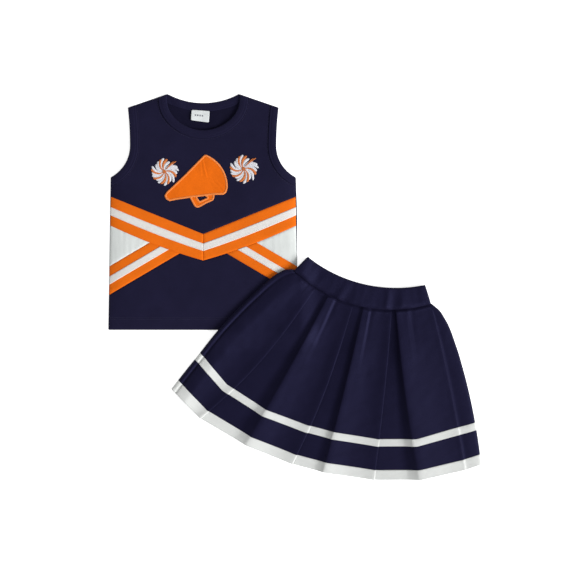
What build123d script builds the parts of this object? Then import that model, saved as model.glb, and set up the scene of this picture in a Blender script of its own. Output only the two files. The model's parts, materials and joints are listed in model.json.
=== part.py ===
from build123d import *
import math
import os

# A child's two-piece cheer uniform laid out flat: a sleeveless shell top, and a pleated
# skirt whose waist corner lies on the shell's lower corner. Millimetres, +Z up.
# The shell is drawn first, about its own centre line with y = 0 at the hem. The skirt is
# drawn about the centre of its flare, then turned, tilted and laid in its place.

# ---- cloth ----
cloth = 1.2                 # knit fabric, one ply
binding = 0.8               # folded binding, appliques and braids stand this proud
satin = 0.6                 # satin stitching on top of an applique
stitch_clearance = 0.2      # between a curved seam edge and the piece beside it
hem_fold_depth = 18.0
hem_fold_rise = 0.6         # pressed inner ply of the shell's hem
seam_width = 8.0            # seam allowances inside the shell and the skirt

# ---- shell: outline ----
hem_half = 146.6
chest_half = 143.0
underarm_height = 235.4
neck_half = 56.0
neck_height = 365.0         # where the shoulder seam meets the neck edge
shoulder_slope = math.radians(19.0)

# ---- shell: armhole, two arcs that meet on a vertical tangent ----
armhole_x = 112.0
armhole_y = 285.0
armhole_low_r = 55.2
armhole_high_r = 492.0
armhole_binding_width = 11.5
binding_wrap = 1.2          # the binding's fold beyond the raw edge
binding_post = 6.0          # length over which front and back binding join

# ---- shell: neck ----
neck_low_r = 62.0
neck_bottom = 309.0
neck_side_r = 42.9
neck_side_turn = math.radians(43.0)   # below horizontal, where the two arcs meet
neck_side_angles = (-15.0, 10.0)      # degrees, middle and end of the side arc
back_neck_r = 116.0
back_neck_bottom = 351.0
neckband_width = 12.5

# ---- shell: thickness when laid out ----
shell_gap = 6.0             # between back and front over the flat middle
shell_edge_gap = 1.5        # the same at the side seam
flat_half = 112.0           # the front slopes down outside this

# ---- shell: pieced front ----
v_slope = math.radians(22.0)
v_top_centre = 148.5
band_width = 38.0           # V band and diagonal bands, square to their edges
braid_width = 10.7
diagonal_slope = math.radians(30.5)
diagonal_side_height = 98.7

# ---- appliques ----
satin_edge = 3.5
pompom_left = (-61.0, 245.0, 21.0)    # x, y, radius
pompom_right = (62.0, 249.0, 22.5)
pompom_strands = 7
pompom_middles = (0.45, 0.2)          # radius of the orange middle and of the white one, per radius
strand_bows = (0.17, 0.15)            # how far an orange and a white strand's sides swell, per radius
strand_belly = (0.55, 0.32)           # where a strand is fullest, along and across, per radius
white_reach = 0.97                    # length of a white strand, per radius
megaphone_rim = [(0.5, 270.5), (30.0, 247.0), (35.5, 210.0)]
megaphone_mouth = [(-52.0, 199.0), (-59.5, 208.5)]
megaphone_round = 4.0
grip_corners = [(17.0, 211.0), (15.0, 199.5), (-8.0, 188.5), (-14.0, 191.5), (-22.0, 206.0)]
grip_hole = [(-9.9, 205.0), (5.5, 207.0), (4.5, 203.0), (-6.5, 198.5)]
grip_round = 2.5
grip_hole_round = 0.8

# ---- neck label ----
label_width = 28.0
label_drop = 17.0
label_thickness = 0.4
label_x = -4.0
label_lift = 0.3            # clear of the neckband it is sewn to
label_turn = -4.0           # degrees
label_seam = 1.0            # tucked over the neckband's lower edge

# ---- skirt: flare, as radii about one centre ----
waistband_top_r = 180.0
waist_seam_r = 214.0
upper_tape_r = 413.0
upper_tape_width = 11.5
hem_tape_r = 461.5
hem_tape_width = 15.5
band_half_angle = 31.0
seam_half_angle = 30.3
hip_r = 285.0
hip_half_angle = 34.0
hem_half_angle = 31.3
tape_thickness = 1.3
pleat_step = 1.0            # a pressed pleat above the cloth beside it

# knife pleats: angle from the flare's middle at the waist, at the hem, and cloth folded under
pleats = [(-19.0, -24.0, 8.0), (-2.0, -5.0, 8.0), (14.0, 11.0, 8.0)]
pleat_waist_angle = 3.0     # width of a pleat's fold at the waist
tucks = [-10.0, 5.0, 21.0]  # short ease tucks that run out below the waist
tuck_end_r = 311.0

# ---- skirt: waistband ----
casing = 0.8
waist_gap = 7.0
elastic_width = 25.0
elastic_clearance = 0.1
seam_tab = 6.0              # skirt cloth caught inside the casing

# ---- skirt: how it lies on the shell ----
skirt_turn = -13.5          # degrees
skirt_beside_hem = 101.0    # waist centre beyond the shell's hem corner
skirt_above_hem = 70.8
flare_centre_up = 180.0     # flare centre above the waist's middle
lay_clearance = 0.7

BIG = 600.0                 # longer than any piece
TALL = 60.0                 # higher than the laid-out uniform
OVERLAP = 1.0               # past an edge that is cut back to it
pleat_overrun = 20.0        # pleat shapes run this far past the hem before they are cut
front_low = cloth + shell_gap
front_top = front_low + cloth


# ---------------------------------------------------------------- drawing helpers
def polygon(*points):
    return make_face(Polyline(*points, close=True))


def disc(x, y, radius):
    return Pos(x, y) * Circle(radius)


def lift(face, low, high):
    return Pos(0, 0, low) * extrude(face, amount=high - low, dir=(0, 0, 1))


def mirrored(shape):
    return mirror(shape, about=Plane.YZ)


def within(face, region):
    """The faces that two flat shapes share."""
    return Sketch() + (face & region).faces()


def solid_within(solid, region):
    return Part() + (solid & region).solids()


# ---------------------------------------------------------------- shell outlines
def side_x(y):
    return hem_half + (chest_half - hem_half) * y / underarm_height


def shoulder_y(x):
    return neck_height - math.tan(shoulder_slope) * (x - neck_half)


def shell_outline():
    """Hem, sides and shoulder lines, with neither neck nor armholes cut."""
    lean = (chest_half - hem_half) / underarm_height
    fall = math.tan(shoulder_slope)
    top_x = (hem_half + lean * (neck_height + fall * neck_half)) / (1 + lean * fall)
    return polygon((-hem_half, 0), (hem_half, 0), (top_x, shoulder_y(top_x)),
                   (0, shoulder_y(0)), (-top_x, shoulder_y(top_x)))


def arm_void(grow):
    """What the right armhole takes away, its edge moved into the cloth by grow."""
    low = disc(armhole_x + armhole_low_r, armhole_y, armhole_low_r + grow)
    high = disc(armhole_x + armhole_high_r, armhole_y, armhole_high_r + grow)
    above = Pos(armhole_x, armhole_y) * Rectangle(BIG, BIG, align=(Align.CENTER, Align.MIN))
    return low + within(high, above)


def neck_void(grow):
    """The front neck: a low arc and two tighter side arcs."""
    low_centre = Vector(0, neck_bottom + neck_low_r)
    ray = Vector(math.cos(neck_side_turn), -math.sin(neck_side_turn))
    side_centre = low_centre + ray * (neck_low_r - neck_side_r)
    join = low_centre + ray * (neck_low_r + grow)
    side_mid = side_centre + Vector(1, 0).rotate(Axis.Z, neck_side_angles[0]) * (neck_side_r + grow)
    side_end = side_centre + Vector(1, 0).rotate(Axis.Z, neck_side_angles[1]) * (neck_side_r + grow)
    bottom = low_centre - Vector(0, neck_low_r + grow)
    left = [Vector(-p.X, p.Y) for p in (join, side_mid, side_end)]
    edges = [ThreePointArc(left[0], bottom, join), ThreePointArc(join, side_mid, side_end),
             Polyline(side_end, (side_end.X, BIG), (-side_end.X, BIG), left[2]),
             ThreePointArc(left[2], left[1], left[0])]
    return make_face(Curve() + edges)


def back_neck_void(grow):
    return disc(0, back_neck_bottom + back_neck_r, back_neck_r + grow)


def under_line(height_at):
    """Everything below a line given by its height at the centre and at x = +-BIG."""
    return polygon((-BIG, height_at(BIG)), (0, height_at(0)), (BIG, height_at(BIG)),
                   (BIG, -BIG), (-BIG, -BIG))


# ---------------------------------------------------------------- shell sheet levels
def height_under(x):
    """Underside of the laid-out front, with its sides sloping to the side seams."""
    if x <= flat_half:
        return front_low
    fall = (shell_gap - shell_edge_gap) / (hem_half - flat_half)
    return front_low - fall * (x - flat_half)


def front_slab(low, high):
    """A ply that follows the front, between two heights above its underside."""
    far = hem_half + OVERLAP
    lower = [(-far, height_under(far) + low), (-flat_half, front_low + low),
             (flat_half, front_low + low), (far, height_under(far) + low)]
    upper = [(x, z - low + high) for x, z in reversed(lower)]
    profile = Plane.XZ * polygon(*lower, *upper)
    return extrude(profile, amount=BIG, both=True)


def inside_slab():
    """The room between the back ply and the front."""
    far = hem_half + OVERLAP
    profile = Plane.XZ * polygon((-far, cloth), (far, cloth), (far, height_under(far)),
                                 (flat_half, front_low), (-flat_half, front_low),
                                 (-far, height_under(far)))
    return extrude(profile, amount=BIG, both=True)


def front_piece(face, low=0.0, high=cloth):
    return solid_within(lift(face, 0, TALL), front_slab(low, high))


def inside_piece(face):
    return solid_within(lift(face, 0, TALL), inside_slab())


# ---------------------------------------------------------------- shell band lines
def v_line(drop):
    """Height of a line parallel to the V band's top edge, a distance below it."""
    centre = v_top_centre - drop / math.cos(v_slope)
    return lambda x: centre + x * math.tan(v_slope)


def diagonal_line(drop):
    """Height of a line parallel to the diagonal band's top edge, a distance below it."""
    side = side_x(diagonal_side_height)
    start = diagonal_side_height - drop / math.cos(diagonal_slope)
    return lambda x: start + (side - x) * math.tan(diagonal_slope)


def diagonal_meets_v(drop):
    """Where a line of the diagonal band runs under the V band."""
    v_low = v_line(band_width)(0)
    x = (diagonal_line(drop)(0) - v_low) / (math.tan(v_slope) + math.tan(diagonal_slope))
    return (x, v_line(band_width)(x))


def v_strip(drop, width):
    top, low = v_line(drop), v_line(drop + width)
    return polygon((0, low(0)), (BIG, low(BIG)), (BIG, top(BIG)), (0, top(0)))


def diagonal_strip(drop, width):
    return polygon(diagonal_meets_v(drop), (BIG, diagonal_line(drop)(BIG)),
                   (BIG, diagonal_line(drop + width)(BIG)), diagonal_meets_v(drop + width))


# ---------------------------------------------------------------- shell pieces
def seam_strips():
    """Flat shapes of the right side and shoulder seam allowances."""
    outline = shell_outline()
    inner_side = polygon((0, 0), (hem_half - seam_width, 0),
                         (side_x(BIG) - seam_width, BIG), (0, BIG))
    arm = arm_void(armhole_binding_width + stitch_clearance)
    side = outline - inner_side - arm
    side = within(side, polygon((0, 0), (BIG, 0), (BIG, underarm_height), (0, underarm_height)))
    drop = seam_width / math.cos(shoulder_slope)
    below = polygon((0, shoulder_y(0) - drop), (BIG, shoulder_y(BIG) - drop), (BIG, -BIG), (0, -BIG))
    neck_grow = neckband_width + stitch_clearance
    right = polygon((0, 0), (BIG, 0), (BIG, BIG), (0, BIG))
    shoulder = within(outline, right) - below - arm - neck_void(neck_grow) - back_neck_void(neck_grow)
    return side, shoulder


def make_shell():
    parts = {}
    outline = shell_outline()
    arms = arm_void(0) + mirrored(arm_void(0))
    front = outline - arms - neck_void(0)
    side, shoulder = seam_strips()
    band, braid_drop = band_width, (band_width - braid_width) / 2

    hem = within(outline, polygon((-BIG, 0), (BIG, 0), (BIG, hem_fold_depth), (-BIG, hem_fold_depth)))
    hem = hem - side - mirrored(side)
    back = outline - arms - back_neck_void(0)
    parts["back_panel"] = lift(back, 0, cloth) + lift(hem, cloth, cloth + hem_fold_rise)

    v_low, diagonal_low = v_line(band), diagonal_line(band)
    parts["front_yoke"] = front_piece(front - under_line(v_line(0)))
    corner, low_corner = diagonal_meets_v(0), diagonal_meets_v(band)
    below = polygon((0, v_low(0)), low_corner, (BIG, diagonal_low(BIG)), (BIG, -BIG), (-BIG, -BIG),
                    (-BIG, diagonal_low(BIG)), (-low_corner[0], low_corner[1]))
    lower = within(front, below)
    insert = polygon(corner, (BIG, v_low(BIG)), (BIG, diagonal_line(0)(BIG)))
    parts["front_lower_panel"] = front_piece(lower) + front_piece(hem, -hem_fold_rise, 0)

    pairs = {
        "v_band": front_piece(within(front, v_strip(0, band))),
        "v_braid": front_piece(within(front, v_strip(braid_drop, braid_width)), cloth, cloth + binding),
        "side_insert": front_piece(within(front, insert)),
        "diagonal_band": front_piece(within(front, diagonal_strip(0, band))),
        "diagonal_braid": front_piece(within(front, diagonal_strip(braid_drop, braid_width)),
                                      cloth, cloth + binding),
        "armhole_binding": armhole_binding(outline),
        "side_seam": inside_piece(side),
        "shoulder_seam": inside_piece(shoulder),
    }
    for name, solid in pairs.items():
        parts[name + "_right"] = solid
        parts[name + "_left"] = mirrored(solid)

    neck_front = within(outline, neck_void(neckband_width) - neck_void(0))
    parts["neckband_front"] = front_piece(neck_front, cloth, cloth + binding)
    neck_back = within(outline, back_neck_void(neckband_width) - back_neck_void(0))
    parts["neckband_back"] = lift(neck_back, cloth, cloth + binding)
    return parts


def armhole_binding(outline):
    """One loop: a strip on the front, a strip inside the back, joined at its two ends."""
    strip = within(outline, arm_void(armhole_binding_width) - arm_void(-binding_wrap))
    fold = within(outline, arm_void(-stitch_clearance) - arm_void(-binding_wrap))
    top_line = shoulder_y(armhole_x) - binding_post
    low_line = underarm_height + binding_post
    ends = fold - polygon((0, low_line), (BIG, low_line), (BIG, top_line), (0, top_line))
    front = front_piece(strip, cloth, cloth + binding)
    back = lift(strip, cloth, cloth + binding)
    posts = inside_piece(ends) + front_piece(ends, 0, cloth + binding)
    return front + back + posts


# ---------------------------------------------------------------- appliques
def megaphone_cone():
    """Side view of a speaking trumpet, its bell up to the right."""
    rim = ThreePointArc(*megaphone_rim)
    sides = Polyline(megaphone_rim[2], *megaphone_mouth, megaphone_rim[0])
    cone = make_face(Curve() + [rim, sides])
    return fillet(cone.vertices(), megaphone_round)


def megaphone_handle():
    grip, hole = polygon(*grip_corners), polygon(*grip_hole)
    return fillet(grip.vertices(), grip_round) - fillet(hole.vertices(), grip_hole_round)


def make_megaphone():
    cone, handle = megaphone_cone(), megaphone_handle()
    whole = cone + handle
    border = whole - offset(cone, -satin_edge)
    return {"megaphone_patch": lift(whole, front_top, front_top + binding),
            "megaphone_border": lift(border, front_top + binding, front_top + binding + satin)}


def strand(radius, spread):
    """One curved tuft of a pompom, from its middle to its rim."""
    tip = Vector(radius, 0)
    root = Vector(0, 0)
    along, across = strand_belly[0] * radius, strand_belly[1] * radius
    lead = ThreePointArc(root, Vector(along, across + spread), tip)
    trail = ThreePointArc(tip, Vector(along, across - spread), root)
    return make_face(Curve() + [lead, trail])


def make_pompom(name, place):
    x, y, radius = place
    pitch = 360 / pompom_strands
    under = Circle(pompom_middles[0] * radius)
    over = Circle(pompom_middles[1] * radius)
    for turn in range(pompom_strands):
        under += Rot(0, 0, pitch * (turn + 0.5)) * strand(radius, strand_bows[0] * radius)
        over += Rot(0, 0, pitch * turn) * strand(white_reach * radius, strand_bows[1] * radius)
    at = Pos(x, y)
    return {name + "_orange": at * lift(under, front_top, front_top + binding),
            name + "_white": at * lift(over, front_top + binding, front_top + binding + satin)}


def make_label():
    """Sewn by its top edge to the lower edge of the back neckband."""
    low = cloth + binding + label_lift
    label = Pos(0, -label_drop / 2, low + label_thickness / 2) * Box(label_width, label_drop, label_thickness)
    hinge = label_hinge()
    return {"neck_label": Pos(hinge.X, hinge.Y) * Rot(0, 0, label_turn) * label}


def label_hinge():
    height = cloth + binding + label_lift + label_thickness / 2
    return Vector(label_x, back_neck_bottom - neckband_width + label_seam, height)


# ---------------------------------------------------------------- skirt
def polar(radius, angle):
    """Angle in degrees from the flare's middle line, positive to the right."""
    turn = math.radians(angle)
    return Vector(radius * math.sin(turn), flare_centre_up - radius * math.cos(turn))


def inset_angle(angle, inset, radius):
    return angle - math.degrees(inset / radius)


def sector(inner_r, outer_r, half_angle, inset=0.0):
    """Ring sector with square ends, each end moved in by inset."""
    inner = inset_angle(half_angle, inset, inner_r)
    outer = inset_angle(half_angle, inset, outer_r)
    edges = [ThreePointArc(polar(inner_r, -inner), polar(inner_r, 0), polar(inner_r, inner)),
             Line(polar(inner_r, inner), polar(outer_r, outer)),
             ThreePointArc(polar(outer_r, outer), polar(outer_r, 0), polar(outer_r, -outer)),
             Line(polar(outer_r, -outer), polar(inner_r, -inner))]
    return make_face(Curve() + edges)


def hem_r():
    return hem_tape_r + hem_tape_width


def flare(inset=0.0):
    """Skirt below the waist seam; its sides swell at the hip."""
    def side(sign):
        places = [(waist_seam_r, seam_half_angle), (hip_r, hip_half_angle), (hem_r(), hem_half_angle)]
        return [polar(r, sign * inset_angle(angle, inset, r)) for r, angle in places]
    left, right = side(-1), side(1)
    edges = [ThreePointArc(left[0], polar(waist_seam_r, 0), right[0]), ThreePointArc(*right),
             ThreePointArc(right[2], polar(hem_r(), 0), left[2]), ThreePointArc(*reversed(left))]
    return make_face(Curve() + edges)


def pleat_shapes():
    """Cloth that lies double: knife pleats down to the hem and short tucks at the waist."""
    beyond, top_r = hem_r() + pleat_overrun, waist_seam_r - OVERLAP
    shapes = Sketch()
    for waist, hem, under in pleats:
        shapes += polygon(polar(top_r, waist), polar(beyond, hem), polar(beyond, hem - under),
                          polar(top_r, waist - pleat_waist_angle))
    for angle in tucks:
        shapes += polygon(polar(top_r, angle), polar(tuck_end_r, angle),
                          polar(top_r, angle - pleat_waist_angle))
    return within(shapes, flare())


def make_tape(inner_r, width, sheet_top, folds):
    """Ribbon sewn round the skirt, stepping up over each pleat."""
    ribbon = within(sector(inner_r, inner_r + width, hip_half_angle + OVERLAP), flare())
    on_cloth = lift(ribbon - folds, sheet_top, sheet_top + tape_thickness)
    pleat_top = sheet_top + pleat_step
    on_pleats = lift(within(ribbon, folds), pleat_top, pleat_top + tape_thickness)
    return on_cloth + on_pleats


def make_skirt():
    """Drawn flat about the flare's middle line, with its lowest face at z = 0."""
    parts = {}
    base = pleat_step + tape_thickness - casing
    high = 2 * (2 * casing + cloth) + waist_gap
    sheet_low = base + high - casing - cloth
    sheet_top = sheet_low + cloth
    middle = Plane.XY.offset(base + high / 2)

    tab = sector(waist_seam_r - seam_tab, waist_seam_r + OVERLAP, band_half_angle, casing + stitch_clearance)
    folds = pleat_shapes()
    front = lift(flare() + tab, sheet_low, sheet_top) + lift(folds, sheet_top, sheet_top + pleat_step)
    tape = make_tape(upper_tape_r, upper_tape_width, sheet_top, folds)
    hem_tape = make_tape(hem_tape_r, hem_tape_width, sheet_top, folds)
    for name, solid in {"panel": front, "tape": tape, "hem_tape": hem_tape}.items():
        parts[f"skirt_{name}_front"] = solid
        parts[f"skirt_{name}_back"] = mirror(solid, about=middle)

    strips = flare() - flare(seam_width)
    right = within(strips, polygon((0, BIG), (BIG, BIG), (BIG, -BIG), (0, -BIG)))
    low_sheet_top = base + casing + cloth
    seam = lift(right, low_sheet_top, sheet_low)
    parts["skirt_side_seam_right"] = seam
    parts["skirt_side_seam_left"] = mirrored(seam)

    parts["waistband"] = waist_ring(waistband_top_r, waist_seam_r, base, high, 0, casing)
    parts["waistband"] += inner_casing(base, high)
    parts["waist_elastic"] = waist_ring(waistband_top_r + casing + elastic_clearance,
                                        waistband_top_r + casing + elastic_clearance + elastic_width,
                                        base, high, casing + elastic_clearance,
                                        cloth - 2 * elastic_clearance)
    return parts


def waist_ring(inner_r, outer_r, base, high, inset, wall):
    """A flattened loop, front and back joined at both ends, open along the radius."""
    outer = lift(sector(inner_r, outer_r, band_half_angle, inset), base + inset, base + high - inset)
    inner = lift(sector(inner_r - OVERLAP, outer_r + OVERLAP, band_half_angle, inset + wall),
                 base + inset + wall, base + high - inset - wall)
    return outer - inner


def inner_casing(base, high):
    """The folded-in ply of the waistband, joined to the outer ply along the top fold."""
    inset = casing + cloth
    ply = waist_ring(waistband_top_r, waist_seam_r, base, high, inset, casing)
    fold = waist_ring(waistband_top_r, waistband_top_r + casing, base, high, 0, inset + casing)
    return ply + fold


def skirt_corner():
    """The hem corner that rests on the floor, in the shell's plan."""
    corner = polar(hem_r(), hem_half_angle).rotate(Axis.Z, skirt_turn)
    return Vector(hem_half + skirt_beside_hem, skirt_above_hem) + corner


def lay_skirt(parts):
    """Turn the skirt, and tilt it up from its far hem corner until it clears the shell."""
    corner = skirt_corner()
    uphill = Vector(flat_half, 0) - corner
    run = uphill.length
    uphill = uphill.normalized()
    hinge = Axis(corner, Vector(uphill.Y, -uphill.X, 0))
    tilt = math.degrees(math.atan2(front_top + binding + lay_clearance, run))
    place = Pos(hem_half + skirt_beside_hem, skirt_above_hem) * Rot(0, 0, skirt_turn)
    laid = {name: (place * solid).rotate(hinge, tilt) for name, solid in parts.items()}
    low = min(solid.bounding_box().min.Z for solid in laid.values())
    return {name: Pos(0, 0, -low) * solid for name, solid in laid.items()}


# ---------------------------------------------------------------- whole uniform
def main():
    parts = make_shell()
    parts.update(make_megaphone())
    parts.update(make_pompom("pompom_left", pompom_left))
    parts.update(make_pompom("pompom_right", pompom_right))
    parts.update(make_label())
    parts.update(lay_skirt(make_skirt()))

    box = Compound([solid for part in parts.values() for solid in part.solids()]).bounding_box()
    shift = Vector(-(box.min.X + box.max.X) / 2, -(box.min.Y + box.max.Y) / 2, -box.min.Z)
    os.makedirs("parts", exist_ok=True)
    for name, solid in parts.items():
        export_step(Pos(shift.X, shift.Y, shift.Z) * solid, f"parts/{name}.step")
    print("size", box.size)
    print("shell centre line at the hem", shift)
    print("label hinge", label_hinge() + shift, "turned", label_turn)


main()
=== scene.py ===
import json
import math

import bmesh
import bpy
import numpy as np
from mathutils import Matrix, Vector, geometry, noise


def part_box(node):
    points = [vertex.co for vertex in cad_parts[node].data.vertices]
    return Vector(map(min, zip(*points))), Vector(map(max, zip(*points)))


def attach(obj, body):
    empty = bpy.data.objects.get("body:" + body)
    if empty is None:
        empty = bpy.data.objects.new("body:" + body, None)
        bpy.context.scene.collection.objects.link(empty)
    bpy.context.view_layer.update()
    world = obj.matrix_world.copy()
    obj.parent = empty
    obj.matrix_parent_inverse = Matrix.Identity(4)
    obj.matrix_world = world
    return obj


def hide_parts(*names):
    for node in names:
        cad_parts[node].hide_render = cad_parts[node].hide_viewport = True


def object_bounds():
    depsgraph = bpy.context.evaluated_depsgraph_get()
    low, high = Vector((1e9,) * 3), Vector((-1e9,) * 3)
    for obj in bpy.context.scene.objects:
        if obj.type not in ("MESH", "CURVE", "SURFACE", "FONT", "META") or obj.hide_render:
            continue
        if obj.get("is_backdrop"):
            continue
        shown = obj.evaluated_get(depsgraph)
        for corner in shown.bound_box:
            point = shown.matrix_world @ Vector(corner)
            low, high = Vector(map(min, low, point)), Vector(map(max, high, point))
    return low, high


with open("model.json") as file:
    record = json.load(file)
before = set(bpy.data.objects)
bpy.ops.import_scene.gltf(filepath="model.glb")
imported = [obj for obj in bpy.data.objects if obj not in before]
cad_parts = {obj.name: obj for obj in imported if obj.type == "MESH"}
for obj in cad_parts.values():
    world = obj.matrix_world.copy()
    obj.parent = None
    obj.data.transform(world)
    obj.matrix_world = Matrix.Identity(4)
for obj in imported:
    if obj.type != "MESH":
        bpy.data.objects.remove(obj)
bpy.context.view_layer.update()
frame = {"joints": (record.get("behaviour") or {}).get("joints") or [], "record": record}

# A child's cheer uniform laid out flat. Drawn in millimetres, in two plans of its own:
# the shell about its centre line with y = 0 at the hem, the skirt about the centre of its flare.
MM = 0.001
BACK_LOW, BACK_HIGH = (np.array(c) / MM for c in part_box("back_panel"))
SHELL_X = (BACK_LOW[0] + BACK_HIGH[0]) / 2
SHELL_Y = BACK_LOW[1]
WAIST = next(m for m in frame["record"]["mounts"] if m["name"] == "skirt_waist")
LABEL_JOINT = next(j for j in frame["joints"] if j["name"] == "label_flip")
LABEL_X = LABEL_JOINT["pos_m"][0] / MM - SHELL_X

# ---- shell sizes, mm ----
HEM_HALF = (BACK_HIGH[0] - BACK_LOW[0]) / 2
CHEST_HALF = HEM_HALF - 3.6
UNDERARM = 235.4
NECK_HALF, NECK_TOP = 56.0, 365.0
SHOULDER_FALL = math.tan(math.radians(19))
ARM_X, ARM_Y, ARM_LOW_R, ARM_HIGH_R = 112.0, 285.0, 55.2, 492.0
NECK_LOW_R, NECK_BOTTOM, NECK_SIDE_R, NECK_TURN = 62.0, 309.0, 42.9, 43.0
BACK_NECK_R, BACK_NECK_BOTTOM = 116.0, 351.0
NECKBAND, ARM_BINDING, WRAP = 12.5, 11.5, 1.2
V_SLOPE, V_TOP = math.radians(22), 148.5
DIAGONAL_SLOPE, DIAGONAL_SIDE = math.radians(30.5), 98.7
BAND, BRAID = 38.0, 10.7
CLOTH = 1.0

# ---- skirt sizes, mm and degrees from the flare's middle ----
WAIST_TOP_R, WAIST_R, HEM_R = 180.0, 214.0, 477.0
UPPER_TAPE, HEM_TAPE = (413.0, 424.5), (461.5, 477.0)
WAIST_ANGLE, LAYER = 30.6, 2.2


# ------------------------------------------------------------------ places
def shell_place(points):
    return (np.asarray(points, float) + (SHELL_X, SHELL_Y, 0)) * MM


FLARE_AXIS = np.array(WAIST["axis"][:2])
FLARE_CENTRE = np.array(WAIST["pos_m"][:2]) / MM + FLARE_AXIS * WAIST_TOP_R
FLARE_RIGHT = np.array([FLARE_AXIS[1], -FLARE_AXIS[0]])


def polar(r, angle):
    """Plan position, in row millimetres, of a point of the flare."""
    turn = np.radians(angle)
    right, down = r * np.sin(turn), r * np.cos(turn)
    return FLARE_CENTRE + right[..., None] * FLARE_RIGHT - down[..., None] * FLARE_AXIS


def smooth(x):
    x = np.clip(x, 0, 1)
    return x * x * (3 - 2 * x)


def wander(x, y, size, seed=0.0):
    """Soft deterministic unevenness between about -1 and 1, over a distance in mm."""
    x, y = np.broadcast_arrays(x, y)
    flat = [noise.noise((a / size, b / size, seed)) for a, b in zip(x.ravel(), y.ravel())]
    return np.array(flat).reshape(x.shape) * 1.6


# ------------------------------------------------------------------ meshes
def make_object(name, verts, faces, weave, material):
    """A smooth mesh in metres; weave is each point's place in its cloth, in mm, for the materials."""
    mesh = bpy.data.meshes.new(name)
    mesh.from_pydata([tuple(v) for v in verts], [], [tuple(f) for f in faces])
    layer = mesh.attributes.new("weave", "FLOAT_VECTOR", "POINT")
    layer.data.foreach_set("vector", np.asarray(weave, np.float32).ravel())
    mesh.validate()
    mesh.polygons.foreach_set("use_smooth", [True] * len(mesh.polygons))
    mesh.update()
    bm = bmesh.new()
    bm.from_mesh(mesh)
    bmesh.ops.recalc_face_normals(bm, faces=bm.faces)
    bm.to_mesh(mesh)
    bm.free()
    obj = bpy.data.objects.new(name, mesh)
    bpy.context.scene.collection.objects.link(obj)
    mesh.materials.append(material)
    return obj


def finish_piece(obj, body, slot, *nodes):
    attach(obj, body)
    if nodes:
        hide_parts(*nodes)
    return obj


def grid_faces(rows, columns, start=0, flip=False, ring=False):
    """Faces of a grid of points; in a ring the last column joins the first."""
    faces = []
    for i in range(rows - 1):
        for j in range(columns if ring else columns - 1):
            a, b = start + i * columns + j, start + i * columns + (j + 1) % columns
            face = (a, b, b + columns, a + columns)
            faces.append(face[::-1] if flip else face)
    return faces


def slab_faces(rows, columns, start):
    """Two grids, one after the other, as the two sides of a sheet, and the rim between them."""
    count = rows * columns
    rim = [(0, j) for j in range(columns)] + [(i, columns - 1) for i in range(1, rows)]
    rim += [(rows - 1, j) for j in range(columns - 2, -1, -1)] + [(i, 0) for i in range(rows - 2, 0, -1)]
    loop = [start + i * columns + j for i, j in rim]
    sides = [(b, a, a + count, b + count) for a, b in zip(loop, loop[1:] + loop[:1])]
    return grid_faces(rows, columns, start) + grid_faces(rows, columns, start + count, flip=True) + sides


def tube_faces(rows, size, start=0):
    """Rings of points, one after the other, as a tube with closed ends."""
    ends = [[start + k for k in range(size)][::-1], [start + (rows - 1) * size + k for k in range(size)]]
    return grid_faces(rows, size, start, ring=True) + ends


def closed_grids(name, sheets, material, place=np.asarray):
    """Sheets with two faces and closed edges, each from two grids of points and its grid of weave."""
    verts, faces, weaves = [], [], []
    for top, bottom, weave in sheets:
        faces += slab_faces(*top.shape[:2], len(verts))
        verts += [*top.reshape(-1, 3), *bottom.reshape(-1, 3)]
        weaves += [*weave.reshape(-1, 3)] * 2
    return make_object(name, place(verts), faces, weaves, material)


def unit(vectors):
    return vectors / np.maximum(np.linalg.norm(vectors, axis=-1, keepdims=True), 1e-12)


def left_of(tangent):
    """Unit normals in plan, to the left of each direction."""
    return unit(np.column_stack([-tangent[:, 1], tangent[:, 0]]))


def run_along(steps):
    return np.concatenate([[0], np.cumsum(steps)])


def grid_normals(grid):
    """Unit normals of a grid of points, on the side that along x across gives."""
    along = np.gradient(grid, axis=0)
    across = np.gradient(grid, axis=1)
    return unit(np.cross(along, across))


def dense(points, step, closed=True):
    """A polyline's points at even steps, its corners kept."""
    points = np.asarray(points, float)
    ends = np.roll(points, -1, axis=0) if closed else points[1:]
    out = []
    for a, b in zip(points, ends):
        count = max(1, int(round(np.linalg.norm(b - a) / step)))
        out += [a + (b - a) * k / count for k in range(count)]
    return np.array(out if closed else out + [points[-1]])


def edge_distance(points, loops):
    best = np.full(len(points), 1e9)
    for loop in loops:
        a, b = loop, np.roll(loop, -1, axis=0)
        for start in range(0, len(points), 4000):
            p = points[start:start + 4000, None, :]
            ab = (b - a)[None]
            t = np.clip(((p - a) * ab).sum(2) / np.maximum((ab ** 2).sum(2), 1e-12), 0, 1)
            d = np.linalg.norm(p - (a + t[..., None] * ab), axis=2).min(1)
            best[start:start + 4000] = np.minimum(best[start:start + 4000], d)
    return best


def inside(points, loops):
    result = np.zeros(len(points), bool)
    x, y = points[:, 0], points[:, 1]
    for loop in loops:
        for (ax, ay), (bx, by) in zip(loop, np.roll(loop, -1, axis=0)):
            if ay != by:
                crosses = (ay > y) != (by > y)
                result ^= crosses & (x < ax + (y - ay) * (bx - ax) / (by - ay))
    return result


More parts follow.
